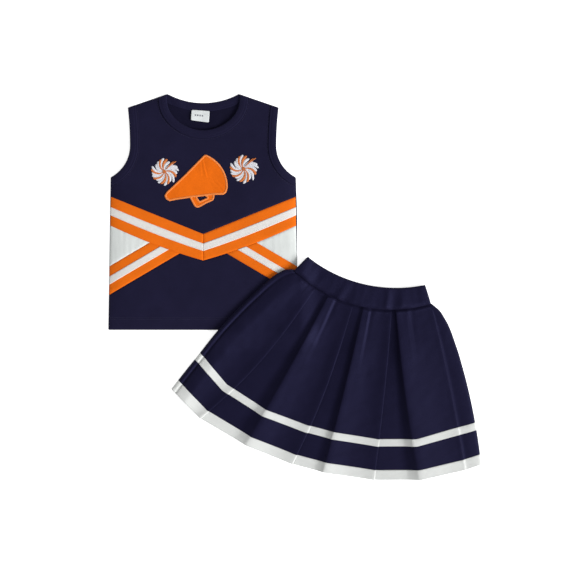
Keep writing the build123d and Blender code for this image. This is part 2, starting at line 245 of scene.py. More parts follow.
def patch(name, loops, height, material, thick=CLOTH, step=3.0, edge_step=1.6, rise=None,
          rings=(0.35, 0.9, 1.7), turn=0.0, place=shell_place):
    """A piece of cloth cut to closed outlines (the first is outside, others are holes).
    height(x, y) is its face; rise(d) is added by the distance d from its edge."""
    rise = rise or seam_dip
    loops = [dense(loop, edge_step) for loop in loops]
    low, high = loops[0].min(0), loops[0].max(0)
    xs = np.arange(low[0], high[0] + step, step)
    rows = np.arange(low[1], high[1] + step, step * 0.866)
    inner = np.array([(x + (step / 2 if k % 2 else 0), y) for k, y in enumerate(rows) for x in xs])
    inner = inner[inside(inner, loops)]
    inner = inner[edge_distance(inner, loops) > rings[-1] + step * 0.45]
    points = [*loops]
    for ring in rings:
        for loop in loops:
            normal = left_of(np.roll(loop, -1, axis=0) - np.roll(loop, 1, axis=0))
            for side in (1, -1):
                moved = loop + normal * ring * side
                moved = moved[inside(moved, loops)]
                points.append(moved[edge_distance(moved, loops) > ring * 0.93])
    points.append(inner)
    flat = np.concatenate(points)
    edges, start = [], 0
    for loop in loops:
        edges += [(start + i, start + (i + 1) % len(loop)) for i in range(len(loop))]
        start += len(loop)
    verts, _, faces, _, _, _ = geometry.delaunay_2d_cdt([Vector(p) for p in flat], edges, [], 0, 1e-5)
    verts = np.array([tuple(v) for v in verts])
    faces = np.array(faces)
    faces = faces[inside(verts[faces].mean(1), loops)]
    used = np.unique(faces)
    renumber = np.full(len(verts), -1)
    renumber[used] = np.arange(len(used))
    verts, faces = verts[used], renumber[faces]
    d = edge_distance(verts, loops)
    z = height(verts[:, 0], verts[:, 1]) + rise(d)
    top = np.column_stack([verts, z])
    bottom = np.column_stack([verts, z - thick * (0.35 + 0.65 * smooth(d / 1.2))])
    count = len(verts)
    sides = {(a, b): True for f in faces for a, b in ((f[0], f[1]), (f[1], f[2]), (f[2], f[0]))}
    rim = [(a, b) for a, b in sides if (b, a) not in sides]
    all_faces = [tuple(f) for f in faces] + [tuple(f[::-1] + count) for f in faces]
    all_faces += [(b, a, a + count, b + count) for a, b in rim]
    c, s = math.cos(turn), math.sin(turn)
    weave = np.column_stack([verts[:, 0] * c + verts[:, 1] * s, verts[:, 1] * c - verts[:, 0] * s, z])
    both = place(np.concatenate([top, bottom]))
    return make_object(name, both, all_faces, np.concatenate([weave, weave]), material)


def seam_dip(d):
    """A cut edge turned down into its seam."""
    return -0.75 * np.exp(-(d / 0.9) ** 2)


def raised(high, shoulder=0.9):
    """A trim that stands up from the cloth, with rounded edges."""
    return lambda d: high * np.sqrt(np.clip(1 - (1 - np.clip(d / shoulder, 0, 1)) ** 2, 0, 1))


# ------------------------------------------------------------------ shell outlines
def side_x(y):
    return HEM_HALF + (CHEST_HALF - HEM_HALF) * y / UNDERARM


def shoulder_y(x):
    return NECK_TOP - SHOULDER_FALL * (x - NECK_HALF)


def armhole(grow, count=61):
    """The right armhole's edge, moved into the cloth by grow, from underarm to shoulder."""
    low_r, high_r = ARM_LOW_R + grow, ARM_HIGH_R + grow
    reach = side_x(UNDERARM) - ARM_X - ARM_LOW_R
    start = math.pi + math.acos(-reach / low_r)
    angles = np.linspace(start, math.pi, count * 3 // 5, endpoint=False)
    low = np.column_stack([ARM_X + ARM_LOW_R + low_r * np.cos(angles), ARM_Y + low_r * np.sin(angles)])
    x = ARM_X - grow
    for _ in range(4):
        rise = shoulder_y(x) - ARM_Y
        x = ARM_X + ARM_HIGH_R - math.sqrt(high_r ** 2 - rise ** 2)
    ys = np.linspace(ARM_Y, shoulder_y(x), count - len(low))
    high = np.column_stack([ARM_X + ARM_HIGH_R - np.sqrt(high_r ** 2 - (ys - ARM_Y) ** 2), ys])
    return np.concatenate([low, high])


def neck(grow, count=81):
    """The front neck's edge, moved into the cloth by grow, from left to right."""
    turn = math.radians(NECK_TURN)
    low_centre = np.array([0, NECK_BOTTOM + NECK_LOW_R])
    centre = low_centre + (NECK_LOW_R - NECK_SIDE_R) * np.array([math.cos(turn), -math.sin(turn)])
    r = NECK_SIDE_R + grow
    end = 0.0
    for _ in range(8):
        x = centre[0] + r * math.cos(end)
        end = math.asin(np.clip((shoulder_y(x) - centre[1]) / r, -1, 1))
    low = np.linspace(-math.pi / 2, -turn, count // 3)[:-1]
    side = np.linspace(-turn, end, count // 2 + 1 - len(low))
    half = np.concatenate([
        low_centre + (NECK_LOW_R + grow) * np.column_stack([np.cos(low), np.sin(low)]),
        centre + r * np.column_stack([np.cos(side), np.sin(side)])])
    return np.concatenate([(half * (-1, 1))[:0:-1], half])


def back_neck(grow, count=61):
    """The back neck's edge, moved into the cloth by grow, from left to right."""
    r, cy = BACK_NECK_R + grow, BACK_NECK_BOTTOM + BACK_NECK_R
    x = NECK_HALF
    for _ in range(8):
        x = math.sqrt(r ** 2 - (cy - shoulder_y(x)) ** 2)
    xs = np.linspace(-x, x, count)
    return np.column_stack([xs, cy - np.sqrt(r ** 2 - xs ** 2)])


def flip(points):
    return (np.asarray(points) * (-1, 1))[::-1]


def v_line(drop, x):
    """A line of the V band a drop below its top edge; the band widens towards the sides."""
    x = np.abs(x)
    widen = 1 + 0.00303 * x - 0.0000164 * x * x
    return V_TOP - drop * widen / math.cos(V_SLOPE) + x * math.tan(V_SLOPE)


def v_edge(drop, start, end, count=12):
    """Points along a line of the V band, from one distance off the centre to another."""
    xs = np.linspace(start, end, count)
    return [(x, float(v_line(drop, x))) for x in xs]


def diagonal_line(drop, x):
    return (DIAGONAL_SIDE - drop / math.cos(DIAGONAL_SLOPE)
            + (side_x(DIAGONAL_SIDE) - np.abs(x)) * math.tan(DIAGONAL_SLOPE))


def diagonal_end(drop):
    """Where a line of the diagonal band runs under the V band."""
    x = 0.0
    for _ in range(8):
        gap = diagonal_line(drop, x) - v_line(BAND, x)
        x += gap / (math.tan(V_SLOPE) + math.tan(DIAGONAL_SLOPE))
    return (x, float(v_line(BAND, x)))


def at_side(line, drop):
    x = CHEST_HALF
    for _ in range(4):
        x = side_x(float(line(drop, x)))
    return (x, float(line(drop, x)))


# ------------------------------------------------------------------ how the shell lies
def skirt_press(x, y):
    """1 where the skirt lies on the shell's corner, 0 well away from it."""
    return smooth((x - 0.62 * y * 1.2 - 10) / 60) * smooth((115 - y) / 45)


def closed_edge(x, y):
    """Distance from the sewn edges: sides and shoulders."""
    side = (side_x(y) - np.abs(x)) + 60 * smooth((y - UNDERARM) / 60)
    shoulder = (shoulder_y(np.abs(x)) - y) * math.cos(math.atan(SHOULDER_FALL))
    return np.maximum(np.minimum(side, shoulder), 0)


def front_height(x, y):
    """The shell's front face above the floor."""
    full = 1 - np.exp(-closed_edge(x, y) / 14)
    puff = 4.2 * (0.35 + 0.65 * smooth(y / 60)) * (1 - 0.45 * smooth((y - 255) / 80))
    z = 1.5 + puff * full
    soft = 0.55 * wander(x, y, 85, 3) + 0.22 * wander(x + 0.4 * y, y, 34, 9)
    folds = 0.35 * np.sin((x * 0.35 + y) / 19 + 2 * wander(x, y, 120, 5)) * smooth((y - 160) / 60)
    z = z + (soft + 0.3 * folds) * full
    return z * (1 - 0.3 * skirt_press(x, y)) + 0.4


def insert_height(x, y):
    """The side inserts keep faint upright creases."""
    return front_height(x, y) + 0.3 * wander(x, y * 0.12, 4.5, 51) * smooth((side_x(y) - np.abs(x)) / 8)


def back_height(x, y):
    """The inner face of the shell's back, which lies on the floor."""
    crease = 0.9 * wander(x * 0.8 + y * 0.35, y * 0.4, 15, 21) * smooth((y - 290) / 30)
    under_label = smooth((34 - np.abs(x - LABEL_X)) / 14) * smooth((y - 316) / 12)
    uneven = 0.2 * wander(x, y, 60, 14) * smooth(closed_edge(x, y) / 20) + np.maximum(crease, -0.15)
    return 1.1 + uneven * (1 - under_label)


# ------------------------------------------------------------------ materials
def linear(*levels):
    """Linear light, from levels of 0 to 255 as a screen shows them."""
    shares = [level / 255 for level in levels]
    return tuple(((c + 0.055) / 1.055) ** 2.4 if c > 0.04045 else c / 12.92 for c in shares) + (1,)


class Nodes:
    def __init__(self, name, roughness, sheen, specular=0.25, tint=(1, 1, 1, 1)):
        self.material = bpy.data.materials.new(name)
        self.material.use_nodes = True
        self.tree = self.material.node_tree
        self.shader = self.tree.nodes["Principled BSDF"]
        self.set(self.shader, {"Roughness": roughness, "Sheen Weight": sheen, "Sheen Roughness": 0.4,
                               "Sheen Tint": tint, "Specular Tint": tint,
                               "Specular IOR Level": specular})

    def set(self, node, values):
        for key, value in values.items():
            socket = node.inputs[key]
            if isinstance(value, bpy.types.NodeSocket):
                self.tree.links.new(value, socket)
            else:
                socket.default_value = value

    def add(self, kind, inputs=None, **settings):
        node = self.tree.nodes.new("ShaderNode" + kind)
        for key, value in settings.items():
            setattr(node, key, value)
        self.set(node, inputs or {})
        return node

    def weave(self):
        return self.add("Attribute", attribute_name="weave").outputs["Vector"]

    def wave(self, vector, period, direction, distortion=0.0):
        """Ridges a period in mm apart across a direction of the weave."""
        node = self.add("TexWave", {"Vector": vector, "Scale": 0.31416 / period, "Distortion": distortion,
                                    "Detail": 1.0, "Detail Scale": 2.0}, bands_direction=direction)
        return node.outputs["Fac"]

    def noise(self, vector, size, detail=3.0):
        return self.add("TexNoise", {"Vector": vector, "Scale": 1 / size, "Detail": detail}).outputs["Fac"]

    def math(self, operation, a, b):
        return self.add("Math", {0: a, 1: b}, operation=operation).outputs[0]

    def ramp(self, value, low, high, colour, spread):
        """The colour, darker by the spread where value is low and lighter where it is high."""
        node = self.add("ValToRGB", {"Fac": value})
        for element, at, factor in zip(node.color_ramp.elements, (low, high), (1 - spread, 1 + spread)):
            element.position, element.color = at, shade(colour, factor)
        return node.outputs["Color"]

    def bump(self, height, distance, strength=1.0, normal=None):
        inputs = {"Height": height, "Distance": distance, "Strength": strength}
        if normal:
            inputs["Normal"] = normal
        return self.add("Bump", inputs).outputs["Normal"]


def shade(colour, factor):
    return tuple(c * factor for c in colour[:3]) + (1,)


def knit(name, colour, wale=0.9, roughness=0.82, sheen=0.25, spread=0.12, depth=0.00012, **gloss):
    """Fine interlock knit: wales crossed by courses, with a slightly uneven dye."""
    n = Nodes(name, roughness, sheen, **gloss)
    weave = n.weave()
    wales = n.wave(weave, wale, "X")
    courses = n.wave(weave, wale * 0.8, "Y", 0.4)
    loops = n.math("MULTIPLY", wales, courses)
    cloud = n.noise(weave, 28.0, 4.0)
    grain = n.noise(weave, 1.6, 2.0)
    mixed = n.math("ADD", n.math("MULTIPLY", cloud, 0.65), n.math("MULTIPLY", grain, 0.35))
    n.set(n.shader, {"Base Color": n.ramp(mixed, 0.35, 0.65, colour, spread),
                     "Normal": n.bump(loops, depth, 0.8, n.bump(grain, depth, 0.5))})
    return n.material


def ribbed(name, colour, period, direction, roughness=0.7, sheen=0.2, depth=0.0002, contrast=0.12, **gloss):
    """Ribs across one direction of the weave: rib knit, grosgrain ribbon or satin thread. The colour is lighter
    on the ribs and darker between them, painted highlight and shade, mixed with a cloud of uneven dye.
    """
    n = Nodes(name, roughness, sheen, **gloss)
    weave = n.weave()
    ribs = n.wave(weave, period, direction, 0.3)
    threads = n.wave(weave, period * 0.45, "Y" if direction == "X" else "X", 0.6)
    cloud = n.noise(weave, 9.0, 3.0)
    # painted light and shade: the colour follows the ribs' height, half of it, the other half a cloud of uneven
    # dye
    groove_shade_and_dye = n.math("ADD", n.math("MULTIPLY", ribs, 0.5), n.math("MULTIPLY", cloud, 0.5))
    height = n.math("ADD", ribs, n.math("MULTIPLY", threads, 0.3))
    n.set(n.shader, {"Base Color": n.ramp(groove_shade_and_dye, 0.2, 0.8, colour, contrast),
                     "Normal": n.bump(height, depth, 0.8)})
    return n.material


NAVY = linear(21, 19, 39)
SKIRT_NAVY = linear(17, 15, 33)
BLUE_GLOSS = {"specular": 0.18, "tint": (0.42, 0.42, 0.9, 1)}
ORANGE = linear(217, 100, 12)
WARM_GLOSS = {"specular": 0.25, "tint": (1, 0.75, 0.4, 1)}
MAT = {
    "navy": knit("navy_interlock", NAVY, sheen=0.02, roughness=0.65, **BLUE_GLOSS),
    # the shell's inner back: the same navy at 0.6 of its level, painted shade for the inside that the front
    # keeps in shadow
    "inside": knit("navy_painted_shade_inside", shade(NAVY, 0.6), sheen=0.01, roughness=0.8, **BLUE_GLOSS),
    "skirt": knit("skirt_gabardine", SKIRT_NAVY, wale=0.6, roughness=0.56, sheen=0.02, depth=0.00006,
                  specular=0.26, tint=(0.27, 0.28, 0.74, 1)),
    "orange": knit("orange_interlock", ORANGE, sheen=0.0, spread=0.07, **WARM_GLOSS),
    "white": knit("white_interlock", linear(204, 208, 206), sheen=0.05, spread=0.04),
    "rib": ribbed("navy_rib", NAVY, 1.5, "X", depth=0.0002, sheen=0.02, **BLUE_GLOSS),
    "braid": ribbed("white_braid", linear(214, 211, 208), 1.1, "X", depth=0.0002, contrast=0.05),
    "tape": ribbed("white_tape", linear(207, 209, 207), 0.9, "X", depth=0.00015, contrast=0.04),
    "twill": knit("orange_twill", linear(219, 99, 9), wale=0.7, sheen=0.0, spread=0.08, **WARM_GLOSS),
    "satin": ribbed("orange_satin", linear(228, 128, 56), 0.5, "X", 0.45, 0.15, 0.0002, 0.12),
    "pom_orange": ribbed("pompom_orange_thread", linear(192, 108, 52), 0.5, "X", 0.45, 0.15, 0.0002, 0.2),
    "pom_white": ribbed("pompom_white_thread", linear(206, 206, 212), 0.5, "X", 0.45, 0.15, 0.0002, 0.1),
    "label": ribbed("label_satin", linear(208, 212, 212), 0.35, "Y", 0.5, 0.1, 0.00005, 0.03),
    "print": ribbed("label_marks", linear(120, 122, 128), 0.35, "Y", 0.7, 0.0, 0.00005, 0.05),
    "thread": ribbed("navy_thread", linear(34, 32, 60), 0.4, "X", 0.6, 0.05, 0.0001),
    "white_thread": ribbed("white_thread", linear(205, 207, 206), 0.4, "X", 0.6, 0.2, 0.0001),
}


# ------------------------------------------------------------------ stitching
STITCH_SIDES = 6
# the rings of a stitch: share of its length from its middle, share of its width
SPINDLE = ((-0.5, 0.15), (-0.3, 0.85), (0.0, 1.0), (0.3, 0.85), (0.5, 0.15))


def stitches(name, rows, material, body, slot, pitch=3.2, length=2.4, width=0.45, lift=0.16):
    """Rows of lockstitch: each stitch is a little spindle of thread. Rows are in metres."""
    verts, faces, weave = [], [], []
    for row in rows:
        row = np.asarray(row) / MM
        run = run_along(np.linalg.norm(np.diff(row, axis=0), axis=1))
        for s in np.arange(pitch / 2, run[-1] - length / 2, pitch):
            a, b = (np.array([np.interp(s + half, run, row[:, k]) for k in range(3)])
                    for half in (-length / 2, length / 2))
            along = unit(b - a)
            side = unit(np.cross(along, (0, 0, 1)))
            up = np.cross(side, along)
            faces += tube_faces(len(SPINDLE), STITCH_SIDES, len(verts))
            for offset, swell in SPINDLE:
                middle = (a + b) / 2 + along * offset * length + up * lift * swell
                for k in range(STITCH_SIDES):
                    turn = 2 * math.pi * k / STITCH_SIDES
                    spoke = side * math.cos(turn) + up * 0.6 * math.sin(turn)
                    verts.append(middle + spoke * width / 2 * swell)
                    weave.append((s + offset * length, turn, 0))
    finish_piece(make_object(name, np.array(verts) * MM, faces, weave, material), body, slot)


def on_front(points, lift=0.0):
    points = np.asarray(points, float)
    z = front_height(points[:, 0], points[:, 1]) + lift
    return shell_place(np.column_stack([points, z]))


# ------------------------------------------------------------------ shell pieces
def outline_front():
    right = armhole(0)
    yoke_side = at_side(v_line, 0)
    return np.concatenate([[(0, V_TOP)], [yoke_side], right, neck(0)[::-1],
                           flip(right), [(-yoke_side[0], yoke_side[1])]])


SHEETS = []
SIDES = (("right", 1), ("left", -1))


def cloth_piece(name, loop, material, slot, node, **settings):
    obj = patch(name, [loop], settings.pop("height", front_height), material, **settings)
    finish_piece(obj, "top", slot, node)
    SHEETS.append((obj, loop, settings.get("turn", 0.0)))
    return obj


def declare_sheets():
    for obj, loop, turn in SHEETS:
        loop = np.asarray(loop, float)


def make_front():
    cloth_piece("yoke", outline_front(), MAT["navy"], "navy_knit", "front_yoke")
    v_top, v_low = at_side(v_line, 0), at_side(v_line, BAND)
    d_top, d_low = at_side(diagonal_line, 0), at_side(diagonal_line, BAND)
    in_top, in_low = diagonal_end(0), diagonal_end(BAND)
    inner_edge = v_edge(BAND, in_low[0], 0)
    lower = [(-HEM_HALF, 0), (HEM_HALF, 0), d_low, *inner_edge,
             *((-x, y) for x, y in inner_edge[-2::-1]), (-d_low[0], d_low[1])]
    cloth_piece("lower_front", lower, MAT["navy"], "navy_knit", "front_lower_panel")
    near, far = (BAND - BRAID) / 2, (BAND + BRAID) / 2
    shapes = {
        "v_band": ([*v_edge(BAND, 0, v_low[0]), v_top, (0, V_TOP)], "orange", "orange_knit", V_SLOPE),
        "side_insert": ([*v_edge(BAND, v_low[0], in_top[0]), d_top], "white", "white_knit", 0.0),
        "diagonal_band": ([d_low, d_top, *v_edge(BAND, in_top[0], in_low[0])], "orange", "orange_knit",
                          -DIAGONAL_SLOPE),
    }
    trims = {
        "v_braid": ([*v_edge(far, 0, at_side(v_line, far)[0]), *v_edge(near, at_side(v_line, near)[0], 0)],
                    V_SLOPE),
        "diagonal_braid": ([diagonal_end(far), at_side(diagonal_line, far), at_side(diagonal_line, near),
                            diagonal_end(near)], -DIAGONAL_SLOPE),
    }
    for side, sign in SIDES:
        for name, (loop, colour, slot, turn) in shapes.items():
            loop = np.array(loop) * (sign, 1)
            height = insert_height if name == "side_insert" else front_height
            cloth_piece(f"{name}_{side}_cloth", loop, MAT[colour], slot, f"{name}_{side}", turn=turn * sign,
                        height=height)
        for name, (loop, turn) in trims.items():
            loop = np.array(loop) * (sign, 1)
            cloth_piece(f"{name}_{side}_ribbon", loop, MAT["braid"], "white_braid", f"{name}_{side}",
                        turn=turn * sign, rise=raised(0.75), thick=0.5, step=1.6, edge_step=1.2,
                        rings=(0.3, 0.8))


def make_back():
    loop = np.concatenate([[(-HEM_HALF, 0), (HEM_HALF, 0)], armhole(0), back_neck(0)[::-1], flip(armhole(0))])
    # the back panel wears the navy darkened as painted shade
    cloth_piece("back_cloth", loop, MAT["inside"], "navy_knit", "back_panel", height=back_height, step=4.0,
                rise=lambda d: -0.45 * np.exp(-(d / 0.8) ** 2), thick=0.9)


def band_strip(name, curve, widths, profile, height, node=None, under=1.1):
    """A folded binding: curve(s) is its line at a distance s across, profile(s) its rise."""
    lines = np.array([curve(s) for s in widths])
    x, y = lines[..., 0], lines[..., 1]
    z = height(x, y)
    rise = np.array([profile(s) for s in widths])[:, None]
    top = shell_place(np.dstack([x, y, z + rise]))
    sink = np.array([-under + 0.9 * max(0.0, 1 - abs(s - widths[0]) / 1.0) for s in widths])[:, None]
    bottom = shell_place(np.dstack([x, y, z + np.minimum(sink, rise - 0.1)]))
    run = run_along(np.linalg.norm(np.diff(lines, axis=1), axis=2).mean(0))
    weave = np.dstack([np.broadcast_to(run, x.shape), np.broadcast_to(np.array(widths)[:, None], x.shape), z])
    obj = closed_grids(name, [(top, bottom, weave)], MAT["rib"])
    finish_piece(obj, "top", "navy_rib", *([node] if node else []))


def binding_profile(width, wrap, high=1.5):
    def profile(s):
        outer = np.clip((s + wrap) / 1.3, 0, 1)
        inner = np.clip((width - s) / 0.8, 0, 1)
        body = 0.72 + 0.28 * math.sin(math.pi * np.clip((s + wrap) / (width + wrap), 0, 1))
        groove = 0.4 * math.exp(-((s - width + 3.2) / 0.5) ** 2)
        edges = math.sqrt(1 - (1 - outer) ** 2) * math.sqrt(1 - (1 - inner) ** 2) ** 0.5
        return -0.5 + (high * body + 0.5) * edges - groove
    return profile


def spread(low, high, count=15):
    """Positions across a strip, closer together at its edges."""
    t = np.linspace(0, math.pi, count)
    return list(low + (high - low) * (1 - np.cos(t)) / 2)


def make_bindings():
    arm_widths, neck_widths = spread(-WRAP, ARM_BINDING, 19), spread(-0.6, NECKBAND, 21)
    rows = []
    for side, sign in SIDES:
        curve = lambda s, sign=sign: armhole(s, 81) * (sign, 1)
        name = f"armhole_binding_{side}"
        band_strip(name + "_front", curve, arm_widths, binding_profile(ARM_BINDING, WRAP), front_height, name)
        band_strip(name + "_back", curve, arm_widths, binding_profile(ARM_BINDING, WRAP, 0.8), back_height,
                   under=0.95)
        rows += [on_front(curve(ARM_BINDING - 1.6), 0.8), on_front(curve(ARM_BINDING + 1.5))]
    band_strip("neckband_front_rib", lambda s: neck(s, 121), neck_widths, binding_profile(NECKBAND, 0.6, 2.0),
               front_height, "neckband_front")
    band_strip("neckband_back_rib", lambda s: back_neck(s, 81), neck_widths,
               binding_profile(NECKBAND, 0.6, 0.8), back_height, "neckband_back", under=0.95)
    rows.append(on_front(neck(NECKBAND + 1.6, 121)))
    hem = np.linspace(-HEM_HALF + 2, HEM_HALF - 2, 120)
    rows += [on_front(np.column_stack([hem, np.full_like(hem, y)])) for y in (16.5, 19.0)]
    stitches("shell_topstitching", rows, MAT["thread"], "top", "navy_knit")


def make_band_stitches():
    """White thread just inside the braids' edges."""
    rows = []
    drops = ((BAND - BRAID) / 2 + 1, (BAND + BRAID) / 2 - 1)
    for sign in (1, -1):
        for line, first in ((v_line, lambda d: 0.5), (diagonal_line, lambda d: diagonal_end(d)[0] + 1)):
            for d in drops:
                xs = np.linspace(first(d), at_side(line, d)[0] - 1, 80)
                rows.append(on_front(np.column_stack([xs * sign, line(d, xs)]), 0.75))
    stitches("braid_stitching", rows, MAT["white_thread"], "top", "white_braid", width=0.4)


# a sewn edge's section: how far out, and its share of the cloth's height
SEAM_ROLL = ((-3.0, 1.0), (-1.6, 1.05), (-0.5, 1.0), (0.25, 0.72), (0.5, 0.4), (0.25, 0.1), (-0.5, 0.0),
             (-3.0, 0.0))


def seam_roll(kind, side, start, end, normal, proud=0.0):
    """The closed edge where front and back are sewn: a soft roll of doubled cloth, proud of the
    front's edge three quarters of the way along."""
    start = np.asarray(start)
    out = np.array(normal) / np.linalg.norm(normal)
    count, low = 60, 0.15
    verts, weave = [], []
    for along in np.linspace(0, 1, count):
        p = start + (np.asarray(end) - start) * along
        high = float(front_height(p[:1], p[1:])[0]) - 0.55
        swell = proud * math.exp(-((along - 0.76) / 0.16) ** 2)
        for across, share in SEAM_ROLL:
            q = p + out * (across + swell)
            verts.append((q[0], q[1], low + (high - low) * share))
            weave.append((np.linalg.norm(p - start), across, 0))
    name = f"{kind}_seam_{side}"
    faces = tube_faces(count, len(SEAM_ROLL))
    obj = make_object(name + "_roll", shell_place(verts), faces, weave, MAT["navy"])
    finish_piece(obj, "top", "navy_knit", name)


def make_seams():
    for side, sign in SIDES:
        hem, underarm = (HEM_HALF * sign, 1.0), (side_x(UNDERARM) * sign, UNDERARM)
        seam_roll("side", side, hem, underarm, (sign, 0.0), proud=0.6 + 0.5 * sign)
        tip, root = armhole(0)[-1] * (sign, 1), neck(0)[-1] * (sign, 1)
        seam_roll("shoulder", side, tip, root, (sign * SHOULDER_FALL, 1.0))


# ------------------------------------------------------------------ appliques
def arc_through(a, b, c, count=24):
    """Points on the circle through three points, from a to c."""
    a, b, c = (complex(*p) for p in (a, b, c))
    w = (c - a) / (b - a)
    centre = (b - a) * (w - abs(w) ** 2) / (2j * w.imag) + a
    start, end = np.angle(a - centre), np.angle(c - centre)
    middle = np.angle(b - centre)
    if not min(start, end) < middle < max(start, end):
        end += 2 * math.pi * (1 if end < start else -1)
    turns = centre + abs(a - centre) * np.exp(1j * np.linspace(start, end, count))
    return np.column_stack([turns.real, turns.imag])


def rounded(points, radius, count=7, closed=True):
    """A polygon, or an open line, with its corners rounded."""
    points = [np.array(p, float) for p in points]
    out = []
    for before, here, after in zip(points[-1:] + points[:-1], points, points[1:] + points[:1]):
        if not closed and (here is points[0] or here is points[-1]):
            out.append(here)
            continue
        a, b = before - here, after - here
        reach = min(radius, 0.45 * np.linalg.norm(a), 0.45 * np.linalg.norm(b))
        p, q = here + a / np.linalg.norm(a) * reach, here + b / np.linalg.norm(b) * reach
        for t in np.linspace(0, 1, count):
            out.append((1 - t) ** 2 * p + 2 * t * (1 - t) * here + t * t * q)
    return np.array(out)


def satin_cord(name, lines, width, high, lift, node):
    """Satin stitching: threads laid side by side across a line, swelling over it.
    Lines are (points, closed, how far to their left the stitching runs)."""
    verts, faces, weave = [], [], []
    across = np.linspace(-1, 1, 9)
    step, thread_pitch = 0.7, 1.5
    for line, closed, inset in lines:
        line = dense(line, step, closed)
        ahead, behind = np.roll(line, -1, axis=0), np.roll(line, 1, axis=0)
        if not closed:
            ahead[-1], behind[0] = line[-1], line[0]
        normal = left_of(ahead - behind)
        if closed:
            for _ in range(3):
                normal = (np.roll(normal, 1, axis=0) + 2 * normal + np.roll(normal, -1, axis=0)) / 4
        line = line + normal * inset
        run = step * np.arange(len(line))
        thread = 0.07 * np.sin(run * 2 * math.pi / thread_pitch)
        offset = across[None, :] * (width / 2 + thread[:, None])
        q = line[:, None, :] + normal[:, None, :] * offset[..., None]
        ground = megaphone_height(q[..., 0], q[..., 1])
        face = ground + lift + high * np.sqrt(1 - across ** 2)[None, :] * (1 + thread[:, None])
        over = np.dstack([q, face])
        under = np.dstack([q, ground - 0.2])[:, ::-1]
        ring = np.concatenate([over, under], axis=1)
        places = np.dstack([run[:, None] + 0 * offset, offset, 0 * offset])
        start, (count, size) = len(verts), ring.shape[:2]
        verts += [*ring.reshape(-1, 3)]
        weave += [*np.concatenate([places, places[:, ::-1]], axis=1).reshape(-1, 3)]
        if closed:
            faces += grid_faces(count, size, start, ring=True)
            last = start + (count - 1) * size
            ring = [(k, (k + 1) % size) for k in range(size)]
            faces += [(last + a, last + b, start + b, start + a) for a, b in ring]
        else:
            faces += tube_faces(count, size, start)
    obj = make_object(name, shell_place(verts), faces, weave, MAT["satin"])
    finish_piece(obj, "top", "orange_satin", node)


CONE_RIM = [(5.4, 270.6), (29.8, 249.6), (37.8, 220.0)]
CONE_FOOT = [(35.8, 213.0), (31.5, 209.4)]
GRIP = [(17.4, 209.2), (16.6, 201.0), (5.5, 196.4), (-2.8, 191.6), (-8.2, 189.0), (-13.2, 191.0),
        (-20.6, 204.7)]
CONE_MOUTH = [(-42.9, 201.4), (-51.5, 199.4), (-57.2, 202.4), (-59.6, 207.8), (-56.6, 213.0)]
CONE_TOP = [(-28.2, 239.8), (-2.6, 266.0), (1.2, 269.8), (3.4, 271.0)]
GRIP_HOLE = [(-10.2, 206.0), (3.2, 207.6), (7.0, 204.4), (-5.6, 199.0)]
TWILL_TURN = 0.45
TWILL_CREASES = [  # from, to, and how deep
    ((1.0, 262.0), (7.0, 236.0), 0.5), ((-3.0, 258.0), (-1.0, 238.0), 0.25),
    ((14.0, 231.0), (29.0, 216.0), 0.4),
    ((21.0, 232.0), (33.0, 219.0), 0.35), ((8.0, 226.0), (20.0, 214.0), 0.25),
]


def make_megaphone():
    rim, grip, hole = arc_through(*CONE_RIM, 20), rounded(GRIP, 4.0, closed=False), rounded(GRIP_HOLE, 1.6)
    outline = np.concatenate([rim, CONE_FOOT, grip, CONE_MOUTH, CONE_TOP])
    cone = np.concatenate([rim, CONE_FOOT, [GRIP[0], GRIP[-1]], CONE_MOUTH, CONE_TOP])
    obj = patch("megaphone_twill", [outline, hole], megaphone_height, MAT["twill"], rise=raised(0.75),
                thick=0.5, step=1.6, edge_step=0.9, rings=(0.3, 0.8), turn=TWILL_TURN)
    finish_piece(obj, "top", "orange_applique", "megaphone_patch")
    SHEETS.append((obj, outline, TWILL_TURN))
    satin_cord("megaphone_edge", [(cone, True, -1.3), (grip, False, -1.3), (hole, True, 1.2)], 3.1, 0.8, 0.55,
               "megaphone_border")


def megaphone_height(x, y):
    """The twill, with the creases that run up to its bell and across its foot."""
    z = front_height(x, y)
    for (ax, ay), (bx, by), deep in TWILL_CREASES:
        length = math.hypot(bx - ax, by - ay)
        along = ((x - ax) * (bx - ax) + (y - ay) * (by - ay)) / length
        off = ((x - ax) * (by - ay) - (y - ay) * (bx - ax)) / length
        here = smooth((along + 4) / 8) * smooth((length + 4 - along) / 8)
        z = z + deep * here * (np.exp(-((off - 1.4) / 1.3) ** 2) - np.exp(-((off + 0.2) / 1.0) ** 2))
    return z + 0.12 * wander(x, y, 11, 31)


# each strand's tip: degrees anticlockwise from the right, its reach and width, white or orange
TUFTS = [
    (92, 1.02, 4.4, "w"), (105, 0.96, 4.2, "o"), (119, 0.9, 4.6, "w"), (137, 0.84, 5.0, "w"),
    (156, 1.03, 4.2, "w"), (170, 1.02, 3.8, "o"), (184, 0.96, 4.2, "w"), (197, 0.99, 4.2, "w"),
    (209, 0.99, 3.8, "o"), (223, 0.88, 4.6, "w"), (238, 0.98, 4.4, "w"), (252, 0.97, 4.2, "o"),
    (268, 1.06, 4.4, "w"), (283, 0.98, 4.2, "o"), (296, 0.88, 4.2, "w"), (309, 1.07, 3.8, "w"),
    (321, 0.88, 4.2, "w"), (334, 0.98, 4.4, "o"), (349, 0.96, 4.6, "w"), (3, 1.09, 3.8, "w"),
    (16, 1.05, 4.2, "w"), (31, 0.84, 4.2, "w"), (60, 0.84, 4.4, "w"), (76, 0.97, 4.2, "o"),
]
SPRIG = [(41, 1.2, 1.7), (47, 1.06, 1.5)]
CURL, SPRIG_CURL = math.radians(-42), math.radians(-8)


